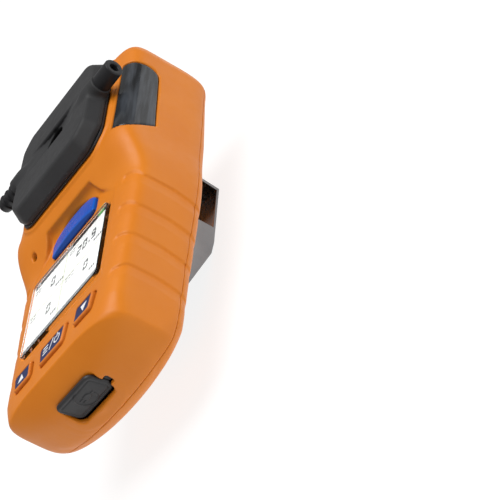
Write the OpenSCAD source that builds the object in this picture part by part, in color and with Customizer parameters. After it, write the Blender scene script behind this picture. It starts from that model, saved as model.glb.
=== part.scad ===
// Portable four-gas detector with a calibration cap.
// +Z points out of the display face and +Y towards the sensor end.
// The origin lies under the middle of the case, level with the outer face of the belt clip.

/* [Case] */
// Length of the case from end to end
case_length = 129.6; // [126:0.2:134]
// Height of the display face above the outer face of the clip
face_z = 43; // [42:0.5:48]
// Rise of the sensor head above the display face
head_rise = 6.8; // [5:0.1:8]
// Depth of the case behind the display face
case_depth = 27; // [26:0.5:30]
// Wall thickness of both shells
wall = 2.2; // [1.8:0.1:2.6]
// Depth of the parting line behind the display face
split_depth = 22.5; // [21:0.5:24]

/* [Display and lens] */
// Width of the display window
window_w = 44.8; // [42:0.2:46]
// Length of the display window
window_l = 32.2; // [30:0.2:34]
// Place of the middle of the display window along the case
window_y = -22.7; // [-24:0.1:-22]
// Width of the blue alarm lens
lens_w = 25.8; // [24:0.2:29]
// Rise of the lens and the window above the display face
proud = 0.7; // [0.4:0.1:1]

/* [Keys] */
// Place of the middle of the key row along the case
key_y = -49.8; // [-51:0.1:-49]
// Distance from the middle key to each outer key
key_pitch = 17.4; // [17:0.1:18]
// Travel of each key
key_travel = 0.6; // [0.3:0.1:0.8]

/* [Sensors] */
// Distance between the sensors across the case
sensor_dx = 25.34; // [24.5:0.1:26]
// Distance between the sensors along the case
sensor_dy = 21.9; // [21.2:0.1:22.5]
// Place of the middle of the four sensors along the case
sensor_y = 36.75; // [36:0.1:37.5]
// Diameter of the openings over the sensors
port_d = 12.8; // [11:0.1:13.5]
// Diameter of the gas sensors
sensor_d = 20.4; // [20:0.1:20.6]

/* [Calibration cap] */
// Width of the foot of the cap
cap_w = 49.4; // [46:0.2:49.6]
// Length of the foot of the cap
cap_l = 44; // [42:0.2:44.4]
// Height of the cap above the sensor head
cap_h = 7; // [6:0.1:8]
// Outer diameter of the plain hose nozzle
nozzle_d = 6.4; // [5.6:0.1:6.6]
// Distance from the middle plane to the end of the plain nozzle
nozzle_reach = 35; // [33:0.2:36]

/* [Belt clip] */
// Width of the clip lever
clip_w = 24; // [22:0.5:26]
// Place of the clip pivot along the case
pivot_y = 11; // [9:0.5:13]
// Diameter of the clip pin
pin_d = 3; // [2.6:0.1:3.4]

/* [Hidden] */
$fn = 48;
half_l = case_length / 2;
back_z = -case_depth;
split_z = -split_depth;
foot_z = -face_z;
// thickness of the seal between the shells
seal_t = 0.5;
// stations along the case: [y, half width]
width_stations = [[-78, 28.5], [-52.5, 32], [-32.5, 33], [-7.5, 35], [7.5, 35.5],
  [19.5, 34.5], [37.5, 34], [53.5, 33.5], [75, 32.5]];
slope_y = [-1.5, 17];
crease_y = 5.1 - half_l;
end_z = -18;
corner_y = 6.8 - half_l;
// rounding of the upper end: [along the case, through the case]
top_edge = [5.5, 9];
top_back = [10, 13.6];
top_taper = 8;
top_half_w = 29;
// the back rises a little towards the upper end
back_lift = 1;
// exponents of the section: front and back, along the case and at the lower end
section_n = [6.8, 6.8];
section_end_n = [3.8, 2.4];
// the section starts to change to that of the lower end here
end_change_y = -52;
pivot_z = -34;
sheet = 1;
end_tilt = 12.9;
cover_y = -63.55;
cover_z = -12.45;
cover_hinge_x = 9.8;
// place of the cover's tab up the end face
tab_v = -1.3;
board_z = -10.4;
board_t = 1.6;
boss_places = [[-24.5, -50], [24.5, -50], [-26, 54.5], [26, 54.5]];
sensor_board_z = -17.6;
// places of the board screws: [x, y, back of the board]
board_screw_places = [[-20, -2.5, board_z], [20, -2.5, board_z],
  [-20.5, sensor_y, sensor_board_z], [20.5, sensor_y, sensor_board_z]];
// depth of the sensor filters below the head
port_depth = 3.8;
// the recess round the lens ends in a concave curve
recess_curve_y = 4.6;
recess_curve_r = 4.2;

// ---- shared curves ----
function clamp01(t) = min(1, max(0, t));
function ease(t) = t * t * (3 - 2 * t);
function span(t, T, i = 0) = (i >= len(T) - 2 || t < T[i + 1][0]) ? i : span(t, T, i + 1);
function rate(T, i) = let (a = T[max(0, i - 1)], b = T[min(len(T) - 1, i + 1)])
  (b[1] - a[1]) / (b[0] - a[0]);
function curve(t, T) =
  let (i = span(t, T), h = T[i + 1][0] - T[i][0], s = (t - T[i][0]) / h)
  T[i][1] * (1 + 2 * s) * (1 - s) * (1 - s) + rate(T, i) * h * s * (1 - s) * (1 - s)
  + T[i + 1][1] * s * s * (3 - 2 * s) + rate(T, i + 1) * h * s * s * (s - 1);
function unit(v) = v / norm(v);
// an outline with each corner rounded to radius r
function rounded(P, r, n = 6) = [for (i = [0:len(P) - 1]) let (
    b = P[i], u = unit(P[(i + len(P) - 1) % len(P)] - b), v = unit(P[(i + 1) % len(P)] - b),
    half = acos(u * v) / 2, m = unit(u + v), o = b + m * r / sin(half),
    turn = 90 - half, side = cross(u, v) < 0 ? 1 : -1, a = atan2(-m[1], -m[0]))
  for (k = [-n:2:n]) let (w = a + side * turn * k / n) o + r * [cos(w), sin(w)]];
function box_points(w, l) = [[-w, -l], [w, -l], [w, l], [-w, l]] / 2;

// ---- case form ----
function front_z(y) = head_rise * ease(clamp01((y - slope_y[0]) / (slope_y[1] - slope_y[0])));
function ring_form(y) = let (
    u = clamp01((crease_y - y) / (crease_y + half_l)),
    c = clamp01((corner_y - y) / (corner_y + half_l)),
    v = clamp01((y - half_l + top_edge[0]) / top_edge[0]),
    q = clamp01((y - half_l + top_back[0]) / top_back[0]),
    p = clamp01((y - half_l + top_taper) / top_taper),
    w = curve(y, width_stations) * pow(1 - pow(c, 1.8), 1 / 1.8),
    f = end_z + (front_z(y) - end_z) * sqrt(1 - u),
    b = end_z + (back_z - end_z) * sqrt(1 - u * u) + back_lift * clamp01((y - 28) / 22))
  [w - (w - top_half_w) * p * sqrt(p), f - top_edge[1] * (1 - sqrt(1 - v * v)),
   b + top_back[1] * (1 - sqrt(1 - q * q)), clamp01((end_change_y - y) / 9)];
function power(t, e) = sign(t) * pow(abs(t), e);
// points of one ring of the case, set in from the outer face
function ring(y, inset, count) = let (r = ring_form(y), k = r[3],
    hw = max(r[0] - inset, 0.5), hh = max((r[1] - r[2]) / 2 - inset, 0.4), zc = (r[1] + r[2]) / 2)
  [for (j = [0:count - 1]) let (t = 360 * (j + 0.5) / count, s = sin(t), g = s >= 0 ? 0 : 1,
      n = section_n[g] + (section_end_n[g] - section_n[g]) * k)
    [hw * power(cos(t), 2 / n), y * (1 - inset / half_l), zc + hh * power(s, 2 / n)]];
module case_form(inset, rings, count) {
  points = [for (i = [0:rings]) each
    ring(-(half_l - 0.02) * cos(180 * i / rings), inset, count)];
  sides = [for (i = [0:rings - 1]) for (j = [0:count - 1]) let (
      a = i * count + j, b = i * count + (j + 1) % count)
    each [[a, b, a + count], [b, b + count, a + count]]];
  first = [for (j = [count - 1:-1:0]) j];
  last = [for (j = [0:count - 1]) rings * count + j];
  polyhedron(points, concat(sides, [first, last]));
}
module above(z) translate([-60, -90, z]) cube([120, 180, 60]);
module below(z) translate([-60, -90, z - 60]) cube([120, 180, 60]);
module at_face() translate([0, 0, face_z]) children();

// ---- outlines on the front ----
function lens_shape(grow = 0) = let (w = lens_w / 2 + grow, n = 22) concat(
  [[-w + 1.4, -2.6 - grow], [w - 1.4, -2.6 - grow], [w - 0.3, -1.6]],
  [for (i = [0:n]) let (t = 180 * i / n) [w * cos(t), 2.9 + (5.2 + grow) * sin(t)]],
  [[-w + 0.3, -1.6]]);
// outer keys lean: [x at the top, x at the foot] of the inner and outer sides
function key_side(grow) = rounded([[12.3 - grow, -53 - grow], [21.6 + grow, -53 - grow],
  [23 + grow, -46 + grow], [12.9 - grow, -46 + grow]], 1.4 + grow / 2, 4);
function key_mid(grow) = rounded([[-6.6 - grow, -54 - grow], [6.6 + grow, -54 - grow],
  [7.7 + grow, -46.4 + grow], [-7.7 - grow, -46.4 + grow]], 1.4 + grow / 2, 4);
module key_outline(which, grow) {
  if (which == 0) polygon(key_mid(grow));
  if (which == 1) polygon(key_side(grow));
  if (which == -1) mirror([1, 0]) polygon(key_side(grow));
}
module bead_outline(half_w, y0, y1, r) {
  polygon(rounded([[-half_w, y0], [half_w, y0], [half_w, y1], [-half_w, y1]], r, 8));
}
// the recess round the lens, which is cut level into the slope of the head
function recess_shape(grow) = rounded([[-24.5 - grow, -8], [24.5 + grow, -8], [24.5 + grow, -2.9],
  [16.7 + grow, 3.2], [14.5 + grow, 6.2], [13 + grow, 8.8 + grow], [-13 - grow, 8.8 + grow],
  [-14.5 - grow, 6.2], [-16.7 - grow, 3.2], [-24.5 - grow, -2.9]], 0.8, 3);
side_window_outline = [[17.6, 6.2], [50.5, 6.2], [50.5, -1.8], [49.4, -4.2], [46.5, -5.2], [22, -6],
  [17.9, 0.5], [16.5, 3]];
module window_block(side, grow = 0) {
  x0 = side > 0 ? 27 : -43;
  translate([x0, 0, 0]) rotate([90, 0, 90]) linear_extrude(16)
    offset(delta = grow) polygon(side_window_outline);
}
module sensor_places() {
  for (sx = [-1, 1]) for (sy = [-1, 1])
    translate([sx * sensor_dx / 2, sensor_y + sy * sensor_dy / 2, 0]) children();
}
module end_frame() translate([0, cover_y, cover_z]) rotate([90 + end_tilt, 0, 0]) children();

// ---- case ----
module recess_cut() intersection() {
  linear_extrude(12) polygon(recess_shape(0));
  translate([-30, 0, 0]) rotate([90, 0, 90]) linear_extrude(60) polygon(concat([[-9, 0]],
    [for (a = [0:20:80]) [recess_curve_y + recess_curve_r * sin(a), recess_curve_r * (1 - cos(a))]],
    [[9.2, 12], [-9, 12]]));
}
// a round boss with a rib to the side wall
module case_boss(p) {
  translate([p[0], p[1], split_z - 1]) cylinder(d = 5.6, h = 13);
  translate([p[0] > 0 ? p[0] : p[0] - 8, p[1] - 1, split_z - 1]) cube([8, 2, 13]);
}
module front_shell() color("darkorange") at_face() {
  difference() {
    union() {
      intersection() {
        case_form(0, 30, 40);
        above(split_z);
      }
      translate([0, 0, head_rise - 1]) linear_extrude(1.5) bead_outline(26.5, 12.9, 60.9, 9);
    }
    difference() {
      case_form(wall, 18, 28);
      for (p = boss_places) case_boss(p);
      for (p = board_screw_places) translate([p[0], p[1], p[2] + board_t]) cylinder(d = 4.6, h = 24);
      translate([0, sensor_y, -5]) cylinder(d = 7, h = 11);
      translate([0, 0, -2]) linear_extrude(12) polygon(recess_shape(1.8));
    }
    recess_cut();
    for (p = board_screw_places) translate([p[0], p[1], p[2]]) cylinder(d = 2.1, h = 6);
    translate([0, 0, head_rise]) linear_extrude(2) bead_outline(25.1, 14.2, 59.6, 7.8);
    translate([0, window_y, -1.1]) linear_extrude(4)
      polygon(rounded(box_points(window_w + 0.1, window_l + 0.1), 2.2));
    translate([0, window_y, -5]) linear_extrude(6) polygon(rounded(box_points(41.6, 28.4), 1));
    translate([0, 0, -5]) linear_extrude(16) polygon(lens_shape(0.05));
    for (k = [-1, 0, 1]) translate([0, 0, -5]) linear_extrude(8) key_outline(k, 0.35);
    translate([-22.5, 6.7, -5]) cylinder(d = 2.6, h = 12);
    sensor_places() translate([0, 0, 2]) cylinder(d = port_d, h = 8);
    translate([0, sensor_y, -6]) cylinder(d = 4.2, h = 9.5);
    translate([0, sensor_y, 0]) cylinder(d = 3.4, h = 9);
    for (p = boss_places) translate([p[0], p[1], split_z - 1]) cylinder(d = 2.1, h = 11);
    for (s = [-1, 1]) window_block(s, 0.1);
    end_frame() {
      translate([0, 0, -1.2]) linear_extrude(6) polygon(rounded(box_points(19, 10.3), 2.6));
      translate([0, 0, -6]) linear_extrude(8) polygon(rounded(box_points(13, 6.4), 1.6));
      translate([cover_hinge_x, tab_v, -1.2]) linear_extrude(6) square([3.6, 2.8], center = true);
    }
  }
}
module rear_shell() color("darkorange") at_face() {
  difference() {
    intersection() {
      case_form(0, 30, 40);
      below(split_z - seal_t);
    }
    difference() {
      case_form(wall, 18, 28);
      for (p = boss_places) translate([p[0], p[1], back_z]) cylinder(d = 7, h = 8);
    }
    for (p = boss_places) translate([p[0], p[1], back_z - 1]) {
      cylinder(d = 2.9, h = 9);
      cylinder(d = 4.8, h = 3.6);
    }
    for (y = [-2, 19]) translate([0, pivot_y + y - 6, back_z - 1]) cylinder(d = 2.6, h = 5);
  }
}
module case_seal() color("black") at_face() difference() {
  intersection() {
    case_form(0.7, 18, 28);
    translate([-60, -90, split_z - seal_t]) cube([120, 180, seal_t]);
  }
  case_form(1.9, 18, 28);
  for (p = boss_places) translate([p[0], p[1], split_z - 3]) cylinder(d = 2.5, h = 6);
}

// ---- front fittings ----
module display_window() color("lightgray", 0.5) at_face() translate([0, window_y, -1.1])
  linear_extrude(1.1 + proud) polygon(rounded(box_points(window_w, window_l), 2.2));
module display_module() color("silver") at_face() translate([0, window_y, 0]) {
  translate([0, 0, -5.6]) linear_extrude(2.6) polygon(rounded(box_points(46, 35), 1));
  translate([0, 0.2, -3]) linear_extrude(1.8) polygon(rounded(box_points(41, 27.8), 0.6));
}
module alarm_lens() color("royalblue") at_face() {
  translate([0, 0, -2.9]) linear_extrude(2.9 + proud) polygon(lens_shape(0));
  translate([0, 0, -3.7]) linear_extrude(0.8) polygon(lens_shape(1));
}
module alarm_leds() color("white") at_face() {
  for (x = [-7, 0, 7]) translate([x - 1.6, 1, board_z + board_t]) cube([3.2, 2.8, 1.9]);
  for (s = [-1, 1]) for (y = [28, 46]) translate([s * 22 - 1, y - 1.5, sensor_board_z + board_t])
    cube([2, 3, 2]);
}
module side_window(side) color("dimgray") at_face() difference() {
  intersection() {
    case_form(0.15, 30, 40);
    window_block(side);
  }
  case_form(2, 18, 28);
}
module side_window_left() side_window(-1);
module side_window_right() side_window(1);

// ---- sensors ----
module sensor_gaskets() color("dimgray") at_face() sensor_places() difference() {
  translate([0, 0, head_rise - port_depth]) cylinder(d = 15.6, h = 0.9);
  translate([0, 0, head_rise - port_depth - 1]) cylinder(d = 9.8, h = 4);
}
module sensor_filters() color("lightgray") at_face() sensor_places()
  translate([0, 0, head_rise - port_depth]) cylinder(d = 9.7, h = 0.5);
module gas_sensor(sx, sy, shade) color(shade) at_face()
  translate([sx * sensor_dx / 2, sensor_y + sy * sensor_dy / 2, head_rise - port_depth - 16.5]) {
    cylinder(d = sensor_d, h = 14.5);
    translate([0, 0, 14.5]) cylinder(d = sensor_d - 3, h = 2);
    for (a = [90, 210, 330]) rotate([0, 0, a]) translate([6.75, 0, -4]) cylinder(d = 1.5, h = 5);
  }
module combustible_sensor() gas_sensor(-1, 1, "silver");
module oxygen_sensor() gas_sensor(1, 1, "white");
module carbon_monoxide_sensor() gas_sensor(-1, -1, "whitesmoke");
module hydrogen_sulfide_sensor() gas_sensor(1, -1, "gainsboro");
module sensor_board() color("green") at_face() difference() {
  translate([-23, 14, sensor_board_z]) cube([46, 45, board_t]);
  sensor_places() for (a = [90, 210, 330]) rotate([0, 0, a]) translate([6.75, 0, -20])
    cylinder(d = 1.55, h = 8);
  board_screw_holes();
}
module screw_insert() color("gold") at_face() translate([0, sensor_y, -4.5]) difference() {
  cylinder(d = 4.1, h = 7.8);
  translate([0, 0, -1]) cylinder(d = 3.05, h = 10);
}

// ---- electronics ----
module board_screw_holes() for (p = board_screw_places)
  translate([p[0], p[1], p[2] - 1]) cylinder(d = 2.2, h = board_t + 2);
module main_board() color("green") at_face() difference() {
  translate([-23.4, -56, board_z]) cube([46.8, 69, board_t]);
  board_screw_holes();
}
module key_switches() color("dimgray") at_face() for (k = [-1, 0, 1])
  translate([k * key_pitch, key_y, board_z + board_t]) {
    translate([-3, -3, 0]) cube([6, 6, 3.2]);
    cylinder(d = 3.4, h = 4);
  }
module battery() color("slategray") at_face() translate([-21, -48, -24.5]) cube([42, 56, 12.4]);
module buzzer() color("black") at_face() translate([-21.2, 6.7, -7.3]) difference() {
  cylinder(d = 12, h = 5);
  translate([0, 0, 3]) cylinder(d = 2, h = 4);
}
module vibration_motor() color("silver") at_face() translate([-9, 21, -21.5]) rotate([0, 90, 0]) {
  cylinder(d = 6, h = 12);
  translate([0, 0, 12]) cylinder(d = 1, h = 3.6);
  translate([0, 0, 13]) intersection() {
    cylinder(d = 5.4, h = 3);
    translate([-4, 0, -1]) cube([8, 4, 6]);
  }
}
module usb_socket() color("silver") at_face() difference() {
  translate([-4.5, -60.6, board_z - 3.2]) cube([9, 7.6, 3.2]);
  translate([-4.1, -61, board_z - 2.8]) cube([8.2, 7, 2.4]);
}
module board_screws() color("silver") at_face() for (p = board_screw_places)
  translate([p[0], p[1], p[2]]) {
    translate([0, 0, -1.2]) cylinder(d = 3.8, h = 1.2);
    translate([0, 0, -0.6]) cylinder(d = 2, h = 6);
  }
module case_screws() color("silver") at_face() for (p = boss_places)
  translate([p[0], p[1], back_z + 1.4]) difference() {
    union() {
      cylinder(d = 4.5, h = 1.2);
      cylinder(d = 2, h = 11);
    }
    translate([0, 0, -1]) cylinder(d = 1.6, h = 1.7);
  }

// ---- keys ----
module key(which) color("darkorange") at_face() {
  difference() {
    translate([0, 0, -3.2]) linear_extrude(4) key_outline(which, 0);
    translate([0, 0, 0.3]) linear_extrude(2) key_outline(which, -0.75);
  }
  translate([0, 0, -4.1]) linear_extrude(0.9) key_outline(which, 1);
}
module label(which) color("midnightblue") at_face() translate([0, 0, 0.3])
  linear_extrude(0.4) key_outline(which, -0.8);
module key_up() key(-1);
module key_menu() key(0);
module key_down() key(1);
module label_up() label(-1);
module label_menu() label(0);
module label_down() label(1);

// ---- charging port cover ----
module usb_cover() color("black") at_face() end_frame() {
  translate([0, 0, -0.9]) linear_extrude(1.2) polygon(rounded(box_points(18.4, 9.7), 2.3));
  translate([0, 0, -1.9]) linear_extrude(1.1) polygon(rounded(box_points(12, 5.4), 1.2));
  translate([7, tab_v - 1.2, -0.9]) cube([2.6, 2.4, 1]);
}
module usb_tether() color("black") at_face() end_frame()
  translate([cover_hinge_x + 0.1, tab_v - 1.2, -1.1]) cube([1.4, 2.4, 1.1]);

// ---- belt clip ----
lever_path = [[40.6, -36], [39.9, foot_z], [13, foot_z], [7.6, -42.4], [-29.5, -28.5]];
module lever_plate() translate([clip_w / 2, 0, 0]) rotate([90, 0, -90]) linear_extrude(clip_w)
  mirror([1, 0]) polygon([for (p = lever_path) p, [-30, -27.35], [-28, -27.35], [7.9, -41.2],
    [13.1, foot_z + sheet], [38.9, foot_z + sheet], [39.6, -36]]);
module lever_flange(x) translate([x, 0, 0]) rotate([90, 0, -90]) linear_extrude(sheet)
  mirror([1, 0]) polygon([[20, foot_z + 0.4], [13, foot_z + 0.4], [7.7, -41.6], [-20, -31.6],
    [-19, -31.4], [4, -31.7], [7, -30.2], [14, -30.2], [18.8, -34.5], [20, -36.6]]);
module clip_lever() color("silver") at_face() difference() {
  union() {
    lever_plate();
    lever_flange(clip_w / 2);
    lever_flange(sheet - clip_w / 2);
  }
  translate([-20, pivot_y, pivot_z]) rotate([0, 90, 0]) cylinder(d = pin_d + 0.1, h = 40);
}
ear_x = clip_w / 2 - sheet - 0.3;
module clip_base() color("gray") at_face() difference() {
  union() {
    translate([-ear_x, -2, back_z - 1.2]) cube([2 * ear_x, 30, 1.2]);
    for (s = [-1, 1]) translate([s * (ear_x - 0.6) - 0.6, 0, 0]) {
      translate([0, pivot_y - 5, back_z - 6]) cube([1.2, 10, 5.5]);
      translate([0, pivot_y, pivot_z]) rotate([0, 90, 0]) cylinder(d = 7, h = 1.2);
    }
  }
  translate([-20, pivot_y, pivot_z]) rotate([0, 90, 0]) cylinder(d = pin_d, h = 40);
  for (y = [-2, 19]) translate([0, pivot_y + y - 6, back_z - 3]) cylinder(d = 2.6, h = 5);
}
module clip_screws() color("silver") at_face() for (y = [-2, 19])
  translate([0, pivot_y + y - 6, back_z - 2.5]) {
    cylinder(d = 4.4, h = 1.3);
    cylinder(d = 2.5, h = 4.6);
  }
module clip_pin() color("silver") at_face() translate([-clip_w / 2 - 0.6, pivot_y, pivot_z])
  rotate([0, 90, 0]) cylinder(d = pin_d, h = clip_w + 1.2);
module clip_spring() color("dimgray") at_face() translate([0, pivot_y, pivot_z]) {
  for (i = [-3:3]) translate([i * 1.05, 0, 0]) rotate([0, 90, 0])
    rotate_extrude() translate([2.5, 0]) circle(d = 1.1, $fn = 16);
  translate([3.15, 2.5, 0]) rotate([-15, 0, 0]) translate([0, 0, -7.4]) cylinder(d = 1, h = 7.4, $fn = 16);
  translate([-3.15, 2.5, 0]) rotate([-8, 0, 0]) cylinder(d = 1, h = 5.4, $fn = 16);
}

// ---- calibration cap ----
cap_z = head_rise + 0.9;
cap_y = sensor_y + 0.15;
nozzle_y = sensor_y + 1.2;
nozzle_z = head_rise + 4.6;
// where the plain nozzle starts, clear of the bead
nozzle_x = 27;
// the shallow trough across the cap
trough_r = 48.8;
module cap_form() {
  hull() {
    translate([0, cap_y, cap_z]) linear_extrude(1.6)
      polygon(rounded(box_points(cap_w, cap_l), 7.4, 8));
    translate([0, cap_y, head_rise + cap_h - 0.3]) linear_extrude(0.3)
      polygon(rounded(box_points(cap_w - 4, cap_l - 6), 6.4, 8));
  }
}
module cap_body() color("dimgray") at_face() difference() {
  union() {
    cap_form();
    for (s = [-1, 1]) translate([s * 16, nozzle_y, nozzle_z]) rotate([0, s * 90, 0]) {
      cylinder(d1 = 4.4, d2 = 7.2, h = 5);
      translate([0, 0, 5]) cylinder(d = 7.2, h = s > 0 ? nozzle_x - 21 : 5);
    }
  }
  translate([0, sensor_y, head_rise + cap_h + trough_r - 1.5]) rotate([90, 0, 0])
    cylinder(r = trough_r, h = 9, center = true);
  difference() {
    translate([0, cap_y, cap_z - 1]) linear_extrude(3)
      polygon(rounded(box_points(cap_w - 5, cap_l - 5), 5.6, 8));
    translate([0, sensor_y, cap_z + 0.2]) cylinder(d = 12, h = 3);
  }
  translate([-30, nozzle_y, nozzle_z]) rotate([0, 90, 0]) cylinder(d = 4.4, h = 8);
  translate([22, nozzle_y, nozzle_z]) rotate([0, 90, 0]) cylinder(d = 4.4, h = 8);
  translate([0, sensor_y, cap_z - 2]) cylinder(d = 3.3, h = 12);
  translate([0, sensor_y, cap_z + 1.4]) cylinder(d = 9, h = 10);
}
module cap_gasket() color("black") at_face() difference() {
  translate([0, cap_y, head_rise + 0.1]) linear_extrude(0.75)
    polygon(rounded(box_points(cap_w - 0.4, cap_l - 0.4), 7.2, 8));
  translate([0, cap_y, head_rise - 1]) linear_extrude(3)
    polygon(rounded(box_points(cap_w - 4.6, cap_l - 4.6), 5.4, 8));
}
module cap_screw() color("dimgray") at_face() translate([0, sensor_y, 0]) difference() {
  union() {
    translate([0, 0, cap_z + 1.5]) cylinder(d = 6, h = 1.3);
    translate([0, 0, -2]) cylinder(d = 2.95, h = cap_z + 3.8);
  }
  translate([-4, -0.4, cap_z + 2.2]) cube([8, 0.8, 2]);
}
module nozzle_left() color("black") at_face() translate([-23, nozzle_y, nozzle_z])
  rotate([0, -90, 0]) difference() {
    union() {
      cylinder(d = 4.3, h = 4);
      translate([0, 0, 3]) cylinder(d = 4.8, h = 10.1);
      for (z = [4.4, 7.2, 10]) translate([0, 0, z]) cylinder(d1 = 6, d2 = 4.8, h = 2.6);
    }
    translate([0, 0, -1]) cylinder(d = 2.8, h = 16);
  }
module nozzle_right() color("black") at_face() translate([22.2, nozzle_y, nozzle_z])
  rotate([0, 90, 0]) difference() {
    union() {
      cylinder(d = 4.3, h = 5);
      translate([0, 0, nozzle_x - 22.1]) cylinder(d = nozzle_d, h = nozzle_reach - nozzle_x - 0.1);
    }
    translate([0, 0, -1]) cylinder(d = 3, h = 16);
  }

front_shell();
rear_shell();
case_seal();
display_window();
display_module();
alarm_lens();
alarm_leds();
side_window_left();
side_window_right();
sensor_gaskets();
sensor_filters();
combustible_sensor();
oxygen_sensor();
carbon_monoxide_sensor();
hydrogen_sulfide_sensor();
sensor_board();
main_board();
key_switches();
battery();
buzzer();
vibration_motor();
key_up();
key_menu();
key_down();
label_up();
label_menu();
label_down();
usb_socket();
usb_tether();
usb_cover();
screw_insert();
case_screws();
board_screws();
clip_base();
clip_screws();
clip_pin();
clip_spring();
clip_lever();
cap_body();
cap_gasket();
cap_screw();
nozzle_left();
nozzle_right();
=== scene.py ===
"""The looks of the portable gas detector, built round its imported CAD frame.

Lengths are millimetres until they reach Blender, with x across the case, y towards the sensor end and
z out of the display face, whose plane is z = 0. Moulded pieces are fields of signed distance, which are
negative inside the piece: skin() turns a field on a grid into a closed mesh.
"""

import math

import bmesh
import bpy
import numpy as np
from mathutils import Matrix, Quaternion, Vector


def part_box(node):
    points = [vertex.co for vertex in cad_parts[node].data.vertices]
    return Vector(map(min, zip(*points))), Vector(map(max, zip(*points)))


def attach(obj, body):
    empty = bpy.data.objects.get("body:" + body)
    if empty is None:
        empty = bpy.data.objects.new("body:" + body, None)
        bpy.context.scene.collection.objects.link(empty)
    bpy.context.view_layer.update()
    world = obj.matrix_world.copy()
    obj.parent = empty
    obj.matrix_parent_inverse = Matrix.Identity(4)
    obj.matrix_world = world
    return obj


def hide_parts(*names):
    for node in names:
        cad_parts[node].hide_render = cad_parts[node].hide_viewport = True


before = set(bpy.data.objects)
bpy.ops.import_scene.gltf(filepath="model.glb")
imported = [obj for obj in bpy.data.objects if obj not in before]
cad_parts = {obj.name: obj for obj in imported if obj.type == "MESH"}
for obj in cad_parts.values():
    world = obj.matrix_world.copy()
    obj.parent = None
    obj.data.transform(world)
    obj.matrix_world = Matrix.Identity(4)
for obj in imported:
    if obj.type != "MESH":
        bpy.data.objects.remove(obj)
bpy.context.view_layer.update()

MM = 0.001
WINDOW_PROUD = 0.7  # how far the display window stands above the display face
FACE_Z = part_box("display_window")[1].z / MM - WINDOW_PROUD


def node_box(node):
    """A CAD node's lowest and highest corners in millimetres, with z from the display face."""
    return [np.array(corner) / MM - (0, 0, FACE_Z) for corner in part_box(node)]


# ---- sizes that the pieces share ----
HALF_L = node_box("front_shell")[1][1]
BACK_Z = node_box("rear_shell")[0][2]
SPLIT_Z = node_box("front_shell")[0][2]
HEAD_RISE = 6.8
WALL = 2.2
SENSOR_Y = float(np.mean([c[1] for c in node_box("cap_screw")]))
SENSOR_DX, SENSOR_DY = 25.34, 21.9
PORT_R = 6.4
KEY_PITCH = 17.4

# the case form: [y, half width] along the case, then its ends and edges
WIDTHS = [[-78, 28.5], [-52.5, 32], [-32.5, 33], [-7.5, 35], [7.5, 35.5],
          [19.5, 34.5], [37.5, 34], [53.5, 33.5], [75, 32.5]]
SLOPE_Y = (-1.5, 17)  # where the face rises to the sensor head
CREASE_Y = 5.1 - HALF_L  # where the lower end starts to round off, seen from the side
CORNER_Y = 6.8 - HALF_L  # where its corners start, seen from the front
PLAN_N = 1.8  # squareness of those corners
END_Z = -18  # where front and back meet at the lower end
TOP_EDGE = (5.5, 9)  # length and height of the rounding at the sensor end, in front
TOP_BACK = (10, 13.6)  # the same at the back
TOP_TAPER, TOP_HALF_W = 8, 29
BACK_LIFT_Y, BACK_LIFT = (28, 50), 1
SECTION_N = (6.8, 6.8)  # squareness of the section, front and back
SECTION_END_N = (3.8, 2.4)  # the same at the lower end
END_CHANGE_Y, END_CHANGE_L = -52, 9
END_INSET = 0.02
FAR = 3  # the form is only followed out to this multiple of a section

# grooves of the grip: y of the upper line on the face and on the side
GRIPS = [(-0.8, -3.4), (-14.8, -16.1), (-28.3, -28), (-42.6, -40.5)]
GRIP_DEPTH, GRIP_WIDTH, GRIP_CORNER_R, GRIP_EDGE = 0.55, 4.2, 1.1, 0.5
GRIP_END_X, GRIP_REACH = 28.3, 20
GRIP_BEND = 5  # height over which a line turns from the face to the side
GRIP_SLANT, GRIP_SLANT_Z = 0.16, -14
GRIP_FADE_H, GRIP_FADE = 4, 1.05

# gaps, seats and radii of what is cut into the casings
WINDOW_GAP, WINDOW_LEDGE, WINDOW_SEAT_Z = 0.1, 0.5, -1.15
LENS_GAP, KEY_GAP, SIDE_WINDOW_GAP = 0.1, 0.4, 0.1
PORT_FLOOR_Z, PORT_LEDGE, INSERT_R = 2.6, 1.4, 1.9
COVER_POCKET, SOCKET_DEPTH = 1.25, 8
BOSSES, BOSS_R = [(24.5, -50), (26, 54.5)], 3.5
SCREW_HEAD_R, SCREW_HEAD_DEPTH, SCREW_HOLE_R = 2.45, 2.55, 1.45
SEAM_FRONT, SEAM_REAR = 0.12, 0.05  # how far each casing reaches past the parting plane

# the end face leans, and the charging port cover lies in it; its strip stands beside its tab
END_TILT = math.radians(12.9)
COVER_Y, COVER_Z, COVER_HINGE_X, TAB_V = -63.55, -12.45, 9.8, -1.3

CASE_STEP = 0.4


# ---- fields ----
def smooth_max(a, b, r):
    """What two fields share, the edge between them rounded by about r."""
    h = np.maximum(r - np.abs(a - b), 0)
    return np.maximum(a, b) + h * h / (4 * r)


def smooth_min(a, b, r):
    """Two fields joined, the corner between them filled by about r."""
    return -smooth_max(-a, -b, r)


def cut(a, b, r=0.3):
    """Field a with b taken out of it, the edge rounded by about r."""
    return smooth_max(a, -b, r)


def ease(t):
    """A smooth step for t from 0 to 1."""
    return t * t * (3 - 2 * t)


def unit_clip(t):
    """Values held between 0 and 1."""
    return np.clip(t, 0, 1)


def axis(lo, hi, step):
    """Evenly spaced values from lo to hi, about step apart."""
    return np.linspace(lo, hi, int(round((hi - lo) / step)) + 1)


def grid(x, y, z):
    """Two arrays over the plane of x and y, and z as a column above it."""
    return *np.meshgrid(x, y, indexing="ij"), z[None, None, :]


def upright(flat):
    """A field over the plane of x and y, made the same at every height."""
    return flat[:, :, None]


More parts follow.
